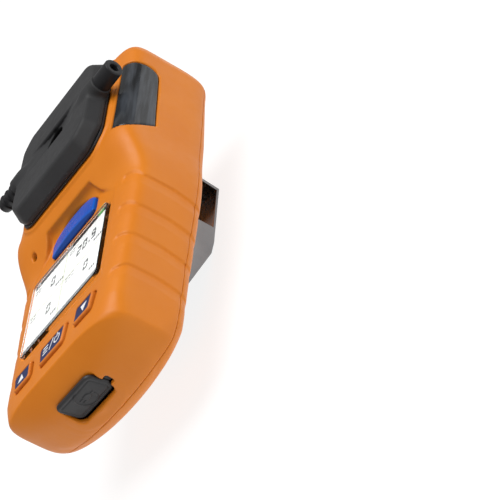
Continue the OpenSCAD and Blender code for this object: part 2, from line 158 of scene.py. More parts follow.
def polygon_distance(points, x, y):
    """Signed distance from a closed outline, on arrays x and y of one shape."""
    best = np.full(x.shape, 1e9)
    inside = np.zeros(x.shape, bool)
    for (x0, y0), (x1, y1) in zip(points, points[1:] + points[:1]):
        ex, ey = x1 - x0, y1 - y0
        t = unit_clip(((x - x0) * ex + (y - y0) * ey) / max(ex * ex + ey * ey, 1e-12))
        best = np.minimum(best, (x - x0 - t * ex) ** 2 + (y - y0 - t * ey) ** 2)
        if y0 != y1:
            inside ^= ((y0 > y) != (y1 > y)) & (x < ex * (y - y0) / ey + x0)
    return np.where(inside, -1, 1) * np.sqrt(best)


def rounded_box(x, y, half_x, half_y, r):
    """Signed distance from a rectangle round the origin, its corners rounded to r."""
    qx, qy = np.abs(x) - half_x + r, np.abs(y) - half_y + r
    return np.hypot(np.maximum(qx, 0), np.maximum(qy, 0)) + np.minimum(np.maximum(qx, qy), 0) - r


def rounded(points, r, count=6):
    """A closed outline with each corner rounded to radius r."""
    made = []
    for i, corner in enumerate(points):
        b = Vector(corner)
        u = (Vector(points[i - 1]) - b).normalized()
        v = (Vector(points[(i + 1) % len(points)]) - b).normalized()
        half = u.angle(v) / 2
        m = (u + v).normalized()
        centre = b + m * r / math.sin(half)
        turn = math.pi / 2 - half
        side = 1 if u.x * v.y - u.y * v.x < 0 else -1
        start = math.atan2(-m.y, -m.x)
        for k in range(-count, count + 1, 2):
            a = start + side * turn * k / count
            made.append((centre.x + r * math.cos(a), centre.y + r * math.sin(a)))
    return made


def station_width(y):
    """The cubic curve through WIDTHS."""
    t = np.array(WIDTHS, float)
    n = len(t)
    rate = np.array([(t[min(i + 1, n - 1)] - t[max(i - 1, 0)]) for i in range(n)])
    rate = rate[:, 1] / rate[:, 0]
    i = np.clip(np.searchsorted(t[:, 0], y, "right") - 1, 0, n - 2)
    h = t[i + 1, 0] - t[i, 0]
    s = (y - t[i, 0]) / h
    return (t[i, 1] * (1 + 2 * s) * (1 - s) ** 2 + rate[i] * h * s * (1 - s) ** 2
            + t[i + 1, 1] * s * s * (3 - 2 * s) + rate[i + 1] * h * s * s * (s - 1))


def ring_form(y):
    """Half width, front, back and squareness of the case's section at y."""
    u = unit_clip((CREASE_Y - y) / (CREASE_Y + HALF_L))
    c = unit_clip((CORNER_Y - y) / (CORNER_Y + HALF_L))
    v, q, p = (unit_clip((y - HALF_L + r) / r) for r in (TOP_EDGE[0], TOP_BACK[0], TOP_TAPER))
    w = station_width(y) * (1 - c ** PLAN_N) ** (1 / PLAN_N)
    head = HEAD_RISE * ease(unit_clip((y - SLOPE_Y[0]) / (SLOPE_Y[1] - SLOPE_Y[0])))
    front = END_Z + (head - END_Z) * np.sqrt(1 - u) - TOP_EDGE[1] * (1 - np.sqrt(1 - v * v))
    back = END_Z + (BACK_Z - END_Z) * np.sqrt(1 - u * u)
    back = back + BACK_LIFT * unit_clip((y - BACK_LIFT_Y[0]) / (BACK_LIFT_Y[1] - BACK_LIFT_Y[0]))
    back = back + TOP_BACK[1] * (1 - np.sqrt(1 - q * q))
    return w - (w - TOP_HALF_W) * p ** 1.5, front, back, unit_clip((END_CHANGE_Y - y) / END_CHANGE_L)


def case_field(x, y, z):
    """Signed distance from the outer face of the case, on the grid of three axes."""
    sections = ring_form(np.clip(y, END_INSET - HALF_L, HALF_L - END_INSET))
    half_w, front, back, k = (a[None, :, None] for a in sections)
    across = np.minimum(np.abs(x)[:, None, None] / half_w, FAR)
    up = np.clip((2 * z[None, None, :] - front - back) / (front - back), -FAR, FAR)
    n = np.where(up > 0, SECTION_N[0] + (SECTION_END_N[0] - SECTION_N[0]) * k,
                 SECTION_N[1] + (SECTION_END_N[1] - SECTION_N[1]) * k)
    share = (across ** n + np.abs(up) ** n) ** (1 / n)
    slope = np.sqrt(sum(g * g for g in np.gradient(share, x, y, z)))
    return smooth_max((share - 1) / np.maximum(slope, 1e-3), np.abs(y)[None, :, None] - HALF_L, 0.4)


def grip_field(x, y, z):
    """How far the grip's grooves sink the face of the case."""
    X, Y, Z = np.abs(x)[:, None, None], y[None, :, None], z[None, None, :]
    sink = np.zeros((len(x), len(y), len(z)))
    r = GRIP_WIDTH / 2
    for y_face, y_side in GRIPS:
        t = ease(unit_clip(-Z / GRIP_BEND))
        below = y_face + (y_side - y_face) * t - GRIP_SLANT * np.maximum(GRIP_SLANT_Z - Z, 0) - Y
        out = np.minimum(X - GRIP_END_X - GRIP_REACH, 0)
        slot = rounded_box(out, below - r, GRIP_REACH, r, GRIP_CORNER_R)
        fade = unit_clip(GRIP_FADE - below / GRIP_WIDTH) * unit_clip((Z - BACK_Z) / GRIP_FADE_H)
        sink = np.maximum(sink, GRIP_DEPTH * ease(unit_clip(0.5 - slot / GRIP_EDGE)) * fade)
    return sink


# ---- from a field to a mesh ----
CELL = [(i, j, k) for i in (0, 1) for j in (0, 1) for k in (0, 1)]
CELL_EDGES = [(a, b) for a in range(8) for b in range(a + 1, 8)
              if sum(CELL[a][i] != CELL[b][i] for i in range(3)) == 1]


def skin(name, field, axes, material, place=None):
    """A closed mesh where the field changes sign: one vertex in each cell that the surface crosses."""
    inside = field < 0
    n = [len(a) - 1 for a in axes]
    count = sum(inside[i:n[0] + i, j:n[1] + j, k:n[2] + k].astype(np.uint8) for i, j, k in CELL)
    cells = np.argwhere((count > 0) & (count < 8))
    values = [field[cells[:, 0] + i, cells[:, 1] + j, cells[:, 2] + k] for i, j, k in CELL]
    total, hits = np.zeros((len(cells), 3)), np.zeros(len(cells))
    for a, b in CELL_EDGES:
        crossed = (values[a] < 0) != (values[b] < 0)
        t = np.where(crossed, values[a] / np.where(crossed, values[a] - values[b], 1), 0)[:, None]
        total += (np.array(CELL[a]) + t * (np.array(CELL[b]) - CELL[a])) * crossed[:, None]
        hits += crossed
    steps = np.array([a[1] - a[0] for a in axes])
    points = np.array([a[0] for a in axes]) + (cells + total / hits[:, None]) * steps
    index = np.full(n, -1, np.int32)
    index[tuple(cells.T)] = np.arange(len(cells))
    quads = []
    for along in range(3):
        u, v = np.eye(3, dtype=int)[(along + 1) % 3], np.eye(3, dtype=int)[(along + 2) % 3]
        low = np.take(inside, range(n[along]), along)
        high = np.take(inside, range(1, n[along] + 1), along)
        at = np.argwhere(low != high)
        ring = [index[tuple((at - shift).T)] for shift in (0 * u, u, u + v, v)]
        quad = np.stack(ring, 1)
        out = low[tuple(at.T)]
        quads.append(np.where(out[:, None], quad, quad[:, ::-1]))
    return mesh_object(name, points, np.concatenate(quads), material, place)


def mesh_object(name, points, faces, material, place=None):
    """An object from points in millimetres and faces of one size, shaded smooth."""
    if place is not None:
        points = points @ np.array(place.to_3x3()).T + np.array(place.translation)
    mesh = bpy.data.meshes.new(name)
    size = faces.shape[1]
    mesh.vertices.add(len(points))
    mesh.vertices.foreach_set("co", ((points + (0, 0, FACE_Z)) * MM).astype(np.float32).ravel())
    mesh.loops.add(faces.size)
    mesh.loops.foreach_set("vertex_index", faces.astype(np.int32).ravel())
    mesh.polygons.add(len(faces))
    mesh.polygons.foreach_set("loop_start", np.arange(0, faces.size, size, dtype=np.int32))
    mesh.update(calc_edges=True)
    mesh.validate()
    mesh.shade_smooth()
    return add_object(name, mesh, material)


def add_object(name, mesh, *materials):
    """Puts a mesh into the scene under a name, with its materials."""
    obj = bpy.data.objects.new(name, mesh)
    bpy.context.scene.collection.objects.link(obj)
    for m in materials:
        mesh.materials.append(m)
    return obj


def soften(obj, width, segments=3, angle=30):
    """Rounds an object's sharp edges by a bevel of the given width."""
    weld = obj.modifiers.new("weld", "WELD")
    weld.merge_threshold = 1e-6
    bevel = obj.modifiers.new("bevel", "BEVEL")
    bevel.width = width * MM
    bevel.segments = segments
    bevel.limit_method = "ANGLE"
    bevel.angle_limit = math.radians(angle)
    bevel.use_clamp_overlap = True
    bevel.harden_normals = False
    normals = obj.modifiers.new("normals", "WEIGHTED_NORMAL")
    normals.keep_sharp = False
    normals.weight = 90
    return obj


def add_prism(bm, points, z0, z1, slot=0):
    """Adds an upright prism on an outline to a bmesh."""
    low = [bm.verts.new((x * MM, y * MM, (z0 + FACE_Z) * MM)) for x, y in points]
    high = [bm.verts.new((x * MM, y * MM, (z1 + FACE_Z) * MM)) for x, y in points]
    sides = [(low[i], low[(i + 1) % len(low)], high[(i + 1) % len(low)], high[i]) for i in range(len(low))]
    faces = [bm.faces.new(f) for f in [low[::-1], high, *sides]]
    for f in faces:
        f.material_index = slot


def prisms(name, parts, materials, bevel=0.0):
    """One object of prisms: parts are (outline, low z, high z, material number)."""
    bm = bmesh.new()
    for part in parts:
        add_prism(bm, *part)
    bmesh.ops.recalc_face_normals(bm, faces=bm.faces)
    mesh = bpy.data.meshes.new(name)
    bm.to_mesh(mesh)
    bm.free()
    obj = add_object(name, mesh, *materials)
    if bevel:
        mesh.shade_smooth()
        soften(obj, bevel)
    return obj


def lathe(name, profile, material, place, count=72):
    """A solid turned from a closed profile of (radius, distance along the axis)."""
    angles = [2 * math.pi * i / count for i in range(count)]
    points = np.array([(r * math.cos(a), r * math.sin(a), d) for r, d in profile for a in angles])
    faces = [(i * count + j, i * count + (j + 1) % count, k * count + (j + 1) % count, k * count + j)
             for i, k in zip(range(len(profile)), [*range(1, len(profile)), 0]) for j in range(count)]
    return mesh_object(name, points, np.array(faces)[:, ::-1], material, place)


# ---- materials ----
class Paint:
    """A new material with its Principled shader, and short calls that add nodes."""

    def __init__(self, name, **values):
        self.material = bpy.data.materials.new(name)
        self.material.use_nodes = True
        self.tree = self.material.node_tree
        self.shader = self.tree.nodes["Principled BSDF"]
        for socket, value in values.items():
            self.shader.inputs[socket.replace("_", " ")].default_value = value
        self.place = self.tree.nodes.new("ShaderNodeTexCoord").outputs["Object"]

    def node(self, kind, **inputs):
        """A new shader node, its inputs set or linked by name."""
        n = self.tree.nodes.new("ShaderNode" + kind)
        for socket, value in inputs.items():
            self.feed(n.inputs[socket.replace("_", " ")], value)
        return n

    def feed(self, socket, value):
        if isinstance(value, bpy.types.NodeSocket):
            self.tree.links.new(value, socket)
        else:
            socket.default_value = value

    def stretched(self, scale):
        return self.node("Mapping", Vector=self.place, Scale=scale).outputs["Vector"]

    def noise(self, scale, detail=3.0, where=None):
        return self.node("TexNoise", Vector=where or self.place, Scale=scale, Detail=detail).outputs["Fac"]

    def ranged(self, value, low, high, start=0.3, end=0.7):
        n = self.node("MapRange", Value=value)
        for socket, v in (("From Min", start), ("From Max", end), ("To Min", low), ("To Max", high)):
            n.inputs[socket].default_value = v
        return n.outputs["Result"]

    def mixed(self, share, a, b):
        n = self.tree.nodes.new("ShaderNodeMix")
        n.data_type = "RGBA"
        colour = [s for s in n.inputs if s.type == "RGBA"]
        self.feed(n.inputs[0], share)
        self.feed(colour[0], a)
        self.feed(colour[1], b)
        return [s for s in n.outputs if s.type == "RGBA"][0]

    def sums(self, operation, a, b):
        n = self.tree.nodes.new("ShaderNodeMath")
        n.operation = operation
        self.feed(n.inputs[0], a)
        self.feed(n.inputs[1], b)
        return n.outputs[0]

    def bump(self, height, depth, strength=1.0):
        """Bump of the given depth in millimetres."""
        n = self.node("Bump", Height=height, Strength=strength, Distance=depth * MM)
        self.feed(self.shader.inputs["Normal"], n.outputs["Normal"])

    def set(self, socket, value):
        self.feed(self.shader.inputs[socket], value)

    def edges(self, low=0.52, high=0.62):
        """1 on sharp outer edges, 0 elsewhere."""
        pointiness = self.tree.nodes.new("ShaderNodeNewGeometry").outputs["Pointiness"]
        return self.ranged(pointiness, 0, 1, low, high)


def rgb(r, g, b):
    """A display colour of 0 to 255 as Blender's linear colour."""
    linear = [c / 255 / 12.92 if c <= 10 else ((c / 255 + 0.055) / 1.055) ** 2.4 for c in (r, g, b)]
    return (*linear, 1)


def moulded(name, colour, light, roughness, grain=0.25, depth=0.012, edge_lightening=0.35, **values):
    """Moulded plastic or rubber: fine grain, faint clouds of colour and lighter edges."""
    p = Paint(name, **values)
    clouds = p.ranged(p.noise(60, 4), 0, 0.55)
    body = p.mixed(clouds, colour, light)
    # sharp outer edges are mixed towards the lighter colour
    p.set("Base Color", p.mixed(p.sums("MULTIPLY", p.edges(), edge_lightening), body, light))
    fine = p.noise(1 / (grain * MM), 2)
    p.set("Roughness", p.ranged(p.noise(350, 5), roughness - 0.05, roughness + 0.05))
    p.bump(fine, depth, 0.6)
    return p.material


WELL_SHADE_EDGE = (2.1e-5, 2.35e-5)  # squares of the radii in metres between which the painted shade in the well sets in


def cap_material():
    """Matte black plastic of the cap, with painted shade making the well of its screw near black."""
    p = Paint("cap_plastic", Specular_IOR_Level=0.2)
    across, along, _ = p.node("SeparateXYZ", Vector=p.place).outputs
    along = p.sums("SUBTRACT", along, SENSOR_Y * MM)
    away = p.sums("ADD", p.sums("POWER", across, 2.0), p.sums("POWER", along, 2.0))
    body = p.mixed(p.ranged(p.noise(60, 4), 0, 0.6), rgb(50, 50, 51), rgb(60, 60, 61))
    # painted shade: the screw well is coloured near black, where shade falls in the hole
    p.set("Base Color", p.mixed(p.ranged(away, 1, 0, *WELL_SHADE_EDGE), body, rgb(6, 6, 7)))
    p.set("Roughness", p.ranged(p.noise(350, 5), 0.5, 0.6))
    p.bump(p.noise(2900, 2), 0.03, 0.6)
    return p.material


def metal(name, colour, roughness, stretch=(1, 1, 1), depth=0.004, scale=900, **values):
    """Metal with fine lines along the direction that stretch leaves small."""
    p = Paint(name, Metallic=1.0, **values)
    lines = p.noise(scale, 4, p.stretched(stretch))
    dark = tuple(c * 0.72 for c in colour[:3]) + (1,)
    p.set("Base Color", p.mixed(p.ranged(p.noise(90, 4), 0, 0.7), colour, dark))
    p.set("Roughness", p.ranged(lines, roughness * 0.7, roughness * 1.5))
    p.bump(lines, depth, 0.5)
    return p.material


def clear(name, colour, roughness, **values):
    """Clear moulded plastic with faint scuffs in its polish."""
    p = Paint(name, Transmission_Weight=1.0, IOR=1.47, **values)
    faint = tuple(0.97 * c for c in colour[:3]) + (1,)
    p.set("Base Color", p.mixed(p.ranged(p.noise(40), 0, 1), colour, faint))
    p.set("Roughness", p.ranged(p.noise(220, 6), roughness, roughness * 2.5, 0.45, 0.8))
    return p.material


def smoked_material():
    """Dark clear plastic over the side lights, with soft grey streaks of painted reflection."""
    p = Paint("smoked", Specular_IOR_Level=0.32, Coat_Weight=0.15, Coat_Roughness=0.03)
    reflection_streaks = p.noise(190, 3, p.stretched((1, 0.22, 2.4)))
    # painted reflection: grey streaks mixed into the dark plastic stand in for reflections
    p.set("Base Color", p.mixed(p.ranged(reflection_streaks, 0, 1, 0.42, 0.75), rgb(20, 22, 25), rgb(74, 78, 84)))
    p.set("Roughness", p.ranged(p.noise(300, 4), 0.08, 0.2))
    p.bump(reflection_streaks, 0.05, 0.35)
    return p.material


def lens_material():
    """Blue clear plastic with the fine prisms of a light cover below its face, and painted shade on its
    lower facet.
    """
    p = Paint("blue_lens", Specular_IOR_Level=0.25, Subsurface_Weight=0.1, Subsurface_Scale=0.002)
    ridges = p.node("TexWave", Vector=p.place, Scale=180.0, Distortion=0.3).outputs["Fac"]
    body = p.mixed(p.ranged(p.noise(80, 3), 0, 1), rgb(4, 86, 190), rgb(8, 98, 204))
    # painted shade: faces that turn down the case, the lower facet, are coloured dark blue
    normal = p.tree.nodes.new("ShaderNodeNewGeometry").outputs["Normal"]
    facet = p.ranged(p.node("SeparateXYZ", Vector=normal).outputs["Y"], 0.75, 0, -0.34, -0.12)
    body = p.mixed(facet, body, rgb(14, 40, 96))
    p.set("Base Color", p.mixed(p.sums("MULTIPLY", ridges, 0.12), body, rgb(6, 56, 140)))
    p.set("Roughness", p.ranged(p.noise(260, 4), 0.16, 0.28))
    p.bump(ridges, 0.015, 0.25)
    return p.material


def screen_material(name, colour, light, **values):
    """A printed or glowing area of the display: fine rows of picture cells."""
    p = Paint(name, Specular_IOR_Level=0.2, **values)
    rows = p.node("TexWave", Vector=p.place, Scale=900.0).outputs["Fac"]
    cloud = p.ranged(p.noise(25, 2), 0, 0.6)
    p.set("Base Color", p.mixed(p.sums("MULTIPLY", rows, 0.12), p.mixed(cloud, colour, light), light))
    p.set("Roughness", p.ranged(p.noise(400, 3), 0.28, 0.4))
    return p.material


def mesh_material():
    """Woven wire of the sensor filters: two sets of rods crossing each other."""
    p = Paint("filter_mesh", Metallic=0.85)
    turned = p.node("Mapping", Vector=p.place, Rotation=(0, 0, math.pi / 2)).outputs["Vector"]
    rods = [p.node("TexWave", Vector=v, Scale=520.0).outputs["Fac"] for v in (p.place, turned)]
    weave = p.sums("MAXIMUM", *rods)
    p.set("Base Color", p.mixed(weave, rgb(96, 98, 100), rgb(205, 206, 208)))
    p.set("Roughness", p.ranged(weave, 0.6, 0.3, 0, 1))
    p.bump(weave, 0.12, 0.8)
    return p.material


def board_material():
    """Green solder mask with tracks under it and small gold pads."""
    p = Paint("circuit_board", Coat_Weight=0.4, Coat_Roughness=0.15)
    tracks = p.node("TexBrick", Vector=p.place, Scale=260.0, Mortar_Size=0.03).outputs["Fac"]
    pads = p.node("TexVoronoi", Vector=p.place, Scale=330.0).outputs["Distance"]
    mask = p.mixed(p.sums("MULTIPLY", tracks, 0.6), rgb(12, 84, 44), rgb(40, 128, 70))
    p.set("Base Color", p.mixed(p.ranged(pads, 1, 0, 0.1, 0.14), mask, rgb(208, 172, 84)))
    p.set("Roughness", p.ranged(p.noise(300), 0.35, 0.5))
    p.bump(tracks, 0.03, 0.5)
    return p.material


def battery_material():
    """A foil pouch in its sleeve, slightly crumpled."""
    p = Paint("battery_wrap", Metallic=0.3)
    folds = p.noise(110, 5)
    p.set("Base Color", p.mixed(p.ranged(folds, 0, 1), rgb(52, 74, 96), rgb(88, 112, 136)))
    p.set("Roughness", p.ranged(folds, 0.3, 0.5))
    p.bump(folds, 0.5, 0.4)
    return p.material


def floor_material():
    """Plain pale paper with a light of its own, so that the ground stays white."""
    p = Paint("floor_paper", Roughness=0.9, Specular_IOR_Level=0.1, Emission_Color=(1, 1, 1, 1),
              Emission_Strength=0.84)
    p.set("Base Color", p.mixed(p.noise(8, 2), (0.20, 0.20, 0.20, 1), (0.22, 0.22, 0.22, 1)))
    return p.material


ORANGE = moulded("orange_shell", rgb(214, 120, 16), rgb(222, 130, 28), 0.45, Specular_IOR_Level=0.35)
ORANGE_KEY = moulded("orange_key", rgb(208, 114, 22), rgb(228, 140, 56), 0.45, edge_lightening=0.8,
                     Specular_IOR_Level=0.35)
CAP_BLACK = cap_material()
RUBBER = moulded("black_rubber", rgb(30, 30, 32), rgb(46, 46, 49), 0.55, grain=0.3, depth=0.02)
GASKET = moulded("dark_rubber", rgb(58, 62, 66), rgb(84, 88, 92), 0.5, grain=0.2)
SEAL = moulded("seal_rubber", rgb(58, 36, 16), rgb(70, 46, 22), 0.6, grain=0.2)
NOZZLE = moulded("nozzle_plastic", rgb(30, 30, 32), rgb(42, 42, 44), 0.42, grain=0.5, depth=0.006,
                 Specular_IOR_Level=0.25)
SWITCH = moulded("switch_plastic", rgb(28, 28, 30), rgb(48, 48, 50), 0.4, grain=0.15)
SENSOR_WHITE = moulded("sensor_body", rgb(214, 214, 208), rgb(232, 232, 228), 0.4, grain=0.2)
LABEL_BLUE = moulded("key_label", rgb(30, 40, 84), rgb(38, 50, 98), 0.4, grain=0.12, depth=0.006,
                     Specular_IOR_Level=0.2)
PRINT = moulded("white_print", rgb(232, 234, 238), rgb(250, 250, 252), 0.45, grain=0.1, depth=0.003)
LED = moulded("led_white", rgb(232, 230, 214), rgb(250, 246, 226), 0.25, grain=0.2)
CLIP_STEEL = metal("clip_steel", rgb(140, 139, 140), 0.2, (1, 0.03, 1), 0.003)
BRIGHT_STEEL = metal("bright_steel", rgb(204, 204, 206), 0.2, (1, 1, 0.1))
SPRING_STEEL = metal("spring_steel", rgb(132, 132, 136), 0.28, (0.1, 1, 1))
SENSOR_STEEL = metal("sensor_steel", rgb(176, 176, 178), 0.35, (1, 1, 0.05))
BLACK_STEEL = metal("black_steel", rgb(44, 44, 46), 0.35, (1, 1, 0.1))
BRASS = metal("brass_insert", rgb(200, 158, 78), 0.25, (1, 1, 0.1))
CLEAR = clear("clear_window", (0.97, 0.98, 0.985, 1), 0.015)
SMOKED = smoked_material()
LENS_BLUE = lens_material()
FILTER = mesh_material()
BOARD = board_material()
BATTERY = battery_material()
# painted light: the grey field glows faintly and is near white, standing in for the glare on its window
SCREEN_GREY = screen_material("screen_grey", rgb(246, 247, 244), rgb(252, 252, 250),
                              Emission_Color=(1, 1, 0.98, 1), Emission_Strength=0.12)
SCREEN_BAND = screen_material("screen_band", rgb(104, 106, 108), rgb(122, 124, 126))
SCREEN_BLACK = screen_material("screen_black", rgb(14, 15, 18), rgb(26, 27, 31))
SCREEN_INK = screen_material("screen_ink", rgb(22, 22, 26), rgb(40, 40, 44))
SCREEN_LIGHT = screen_material("screen_light", rgb(196, 198, 200), rgb(214, 216, 218))
SCREEN_GREEN = screen_material("screen_green", rgb(86, 168, 78), rgb(110, 190, 96))
SCREEN_LINE = screen_material("screen_line", rgb(178, 190, 112), rgb(196, 204, 134))


# ---- camera, floor and light ----
def add_camera():
    """The photograph's view: from the right and below the display, turned on its side."""
    azimuth, elevation, roll = (math.radians(a) for a in (37.17, 20.14, 61.6))
    distance, target = 0.530, Vector((0.0300, -0.0052, (FACE_Z - 45.5) * MM))
    data = bpy.data.cameras.new("camera")
    data.lens = 124.9
    data.sensor_width = 36
    data.clip_start = 0.01
    cam = bpy.data.objects.new("camera", data)
    bpy.context.scene.collection.objects.link(cam)
    back = Vector((math.sin(azimuth) * math.cos(elevation), -math.cos(azimuth) * math.cos(elevation),
                   math.sin(elevation)))
    cam.rotation_mode = "QUATERNION"
    cam.location = target + back * distance
    cam.rotation_quaternion = (-back).to_track_quat("-Z", "Y") @ Quaternion((0, 0, 1), -roll)
    bpy.context.scene.camera = cam


def add_studio():
    """A wide floor, an even white surround and one soft sun."""
    bm = bmesh.new()
    bmesh.ops.create_grid(bm, x_segments=8, y_segments=8, size=6)
    mesh = bpy.data.meshes.new("floor")
    bm.to_mesh(mesh)
    bm.free()
    floor = add_object("floor", mesh, floor_material())
    world = bpy.data.worlds.new("studio")
    bpy.context.scene.world = world
    world.use_nodes = True
    world.node_tree.nodes["Background"].inputs["Color"].default_value = (1, 1, 1, 1)
    world.node_tree.nodes["Background"].inputs["Strength"].default_value = 0.34
    sun = bpy.data.lights.new("soft_sun", "SUN")
    sun.energy = 2.7
    sun.angle = math.radians(50)
    lamp = bpy.data.objects.new("soft_sun", sun)
    bpy.context.scene.collection.objects.link(lamp)
    lamp.rotation_mode = "QUATERNION"
    lamp.rotation_quaternion = Vector((-0.34, -0.12, -0.93)).to_track_quat("-Z", "Y")
    bpy.context.scene.view_settings.view_transform = "Standard"


# ---- the case ----
def recess_outline(grow=0.0):
    """The level recess round the display and the lens."""
    right = [(24.5, -42), (24.5, -2.9), (16.7, 3.2), (14.5, 6.2), (13, 8.8)]
    points = [(-24.5, -42), *right, *[(-x, y) for x, y in right[:0:-1]]]
    return rounded([(x + math.copysign(grow, x), y + (grow if y > 8 else 0)) for x, y in points], 0.8, 4)


RECESS_FLOOR = -0.25
RECESS_CURVE_Y, RECESS_CURVE_R = 4.6, 4.2
LENS_HALF_W = (node_box("alarm_lens")[1][0] - node_box("alarm_lens")[0][0]) / 2 - 1


def lens_outline():
    """Outline of the alarm lens: a half ellipse on a straight lower edge."""
    w = LENS_HALF_W
    arc = [(w * math.cos(t), 2.9 + 5.2 * math.sin(t)) for t in np.linspace(0, math.pi, 33)]
    return [(1.4 - w, -2.6), (w - 1.4, -2.6), (w - 0.3, -1.6), *arc, (0.3 - w, -1.6)]


def key_outline(which, grow=0.0):
    """Outline of a key: 0 in the middle, 1 on the right and -1 on the left."""
    g = grow
    if which == 0:
        points = [(-6.6 - g, -54 - g), (6.6 + g, -54 - g), (7.7 + g, -46.4 + g), (-7.7 - g, -46.4 + g)]
    else:
        points = [(12.3 - g, -53 - g), (21.6 + g, -53 - g), (23 + g, -46 + g), (12.9 - g, -46 + g)]
        if which < 0:
            points = [(-x, y) for x, y in reversed(points)]
    return rounded(points, 1.4 + g / 2, 6)


SIDE_WINDOW = [(18.6, 6.8), (50.5, 6.8), (50.5, -0.8), (50.2, -2.6), (49.4, -4), (48.2, -4.9), (46.5, -5.2),
               (22, -6), (19.9, -2.7), (17.9, 0.5), (16.8, 2.4), (16.5, 4), (17.1, 5.4)]
SIDE_WINDOW_X = 28
SOUND_HOLE = (-22.5, 6.7, 1.3)


def sensor_centres():
    """Middles of the four sensor openings, as x and y."""
    return [(sx * SENSOR_DX / 2, SENSOR_Y + sy * SENSOR_DY / 2) for sx in (-1, 1) for sy in (-1, 1)]


def window_field(x, y, z, grow):
    """The prism through the side of the case that holds a side window."""
    outline = polygon_distance(SIDE_WINDOW, *np.meshgrid(y, z, indexing="ij"))[None] - grow
    return smooth_max(outline, SIDE_WINDOW_X - grow - np.abs(x)[:, None, None], 0.6)


def end_axes(y, z):
    """Distances up the leaning end face and out of it."""
    c, s = math.cos(END_TILT), math.sin(END_TILT)
    dy, dz = y[None, :, None] - COVER_Y, z[None, None, :] - COVER_Z
    return dz * c - dy * s, -dy * c - dz * s


BEAD_Y, BEAD_HALF, BEAD_CORNERS = 36.85, (25.8, 23.35), (7.5, 9.5)
BEAD_R, BEAD_SINK = 0.75, 0.15


def bead_field(x, y, face):
    """The bead round the sensors, a half-round ridge on the face."""
    X, Y = np.meshgrid(x, y, indexing="ij")
    r = np.where(Y > SENSOR_Y, BEAD_CORNERS[0], BEAD_CORNERS[1])
    line = upright(np.abs(rounded_box(X, Y - BEAD_Y, *BEAD_HALF, r)))
    return np.hypot(line, face + BEAD_SINK) - BEAD_R


def recess_field(X, Y, Z):
    """The level recess round the display and the lens, which curves up to the head beyond the lens."""
    outline = upright(polygon_distance(recess_outline(), X, Y))
    beyond = upright(Y) - RECESS_CURVE_Y
    curve = np.hypot(beyond, Z - RECESS_CURVE_R) - RECESS_CURVE_R + RECESS_FLOOR
    level = np.maximum(RECESS_FLOOR - Z, beyond)
    above = np.maximum(RECESS_CURVE_R - Z, beyond - RECESS_CURVE_R)
    return smooth_max(outline, np.minimum(np.minimum(level, curve), above), 0.8)


def front_cuts(x, y, z):
    """What is cut out of the front casing: pairs of a field and the radius of its edge."""
    X, Y, Z = grid(x, y, z)
    lo, hi = node_box("display_window")
    w, l = (hi - lo)[:2] / 2
    over = Y - (hi + lo)[1] / 2
    seat = upright(rounded_box(X, over, w + WINDOW_GAP, l + WINDOW_GAP, 2.2))
    yield np.maximum(seat, WINDOW_SEAT_Z - Z), 0.3
    yield upright(rounded_box(X, over, w - WINDOW_LEDGE, l - WINDOW_LEDGE, 1.4)), 0.2
    yield upright(polygon_distance(lens_outline(), X, Y)) - LENS_GAP, 0.35
    for which in (-1, 0, 1):
        yield upright(polygon_distance(key_outline(which), X, Y)) - KEY_GAP, 0.45
    for cx, cy in sensor_centres():
        away = upright(np.hypot(X - cx, Y - cy))
        yield np.maximum(away - PORT_R, PORT_FLOOR_Z - Z), 0.5
        yield away - PORT_R + PORT_LEDGE, 0.2
    yield upright(np.hypot(X, Y - SENSOR_Y)) - INSERT_R, 0.4
    yield upright(np.hypot(X - SOUND_HOLE[0], Y - SOUND_HOLE[1])) - SOUND_HOLE[2], 0.5
    yield window_field(x, y, z, SIDE_WINDOW_GAP), 0.4
    xs = upright(X)
    up, out = end_axes(y, z)
    yield np.maximum(rounded_box(xs, up, 9.5, 5.15, 2.6), -COVER_POCKET - out), 0.4
    yield np.maximum(rounded_box(xs, up, 6.5, 3.2, 1.6), -SOCKET_DEPTH - out), 0.3
    notch = rounded_box(xs - COVER_HINGE_X, up - TAB_V, 1.8, 1.45, 0.4)
    yield np.maximum(notch, -COVER_POCKET - out), 0.3


def front_field(x, y, z):
    """The front casing: the hollow case form with its bead, its recess and its openings."""
    X, Y, Z = grid(x, y, z)
    case = case_field(x, y, z)
    slab = np.maximum(upright(polygon_distance(recess_outline(1.8), X, Y)), -WALL - Z)
    field = smooth_min(case + grip_field(x, y, z), bead_field(x, y, case), 0.5)
    field = cut(field, recess_field(X, Y, Z), 0.5)
    field = cut(field, np.maximum(case + WALL, -slab), 0.3)
    for opening, r in front_cuts(x, y, z):
        field = cut(field, opening, r)
    return smooth_max(field, SPLIT_Z - SEAM_FRONT - Z, 0.05)


def case_axes(z0, z1):
    """The three axes of a grid round the case, from z0 to z1."""
    return (axis(-36.4, 36.4, CASE_STEP), axis(-65.6, 65.6, CASE_STEP), axis(z0, z1, CASE_STEP))


def build_front():
    """The front casing as a mesh."""
    axes = case_axes(SPLIT_Z - 0.6, HEAD_RISE + 1.4)
    return skin("front_casing", front_field(*axes), axes, ORANGE)


def build_rear():
    """The rear casing: the hollow case form with the bosses of its four screws."""
    axes = case_axes(BACK_Z - 0.8, SPLIT_Z + 0.6)
    X, Y, Z = grid(*axes)
    case = case_field(*axes)
    field = cut(case + grip_field(*axes), case + WALL, 0.3)
    for cx, cy in [(side * bx, by) for bx, by in BOSSES for side in (-1, 1)]:
        r = upright(np.hypot(X - cx, Y - cy))
        boss = smooth_max(smooth_max(r - BOSS_R, case + 0.8, 0.5), Z - SPLIT_Z + 0.6, 0.3)
        field = smooth_min(field, boss, 0.4)
        field = cut(field, np.maximum(r - SCREW_HEAD_R, Z - BACK_Z - SCREW_HEAD_DEPTH), 0.3)
        field = cut(field, r - SCREW_HOLE_R, 0.2)
    return skin("rear_casing", smooth_max(field, Z - SPLIT_Z - SEAM_REAR, 0.05), axes, ORANGE)


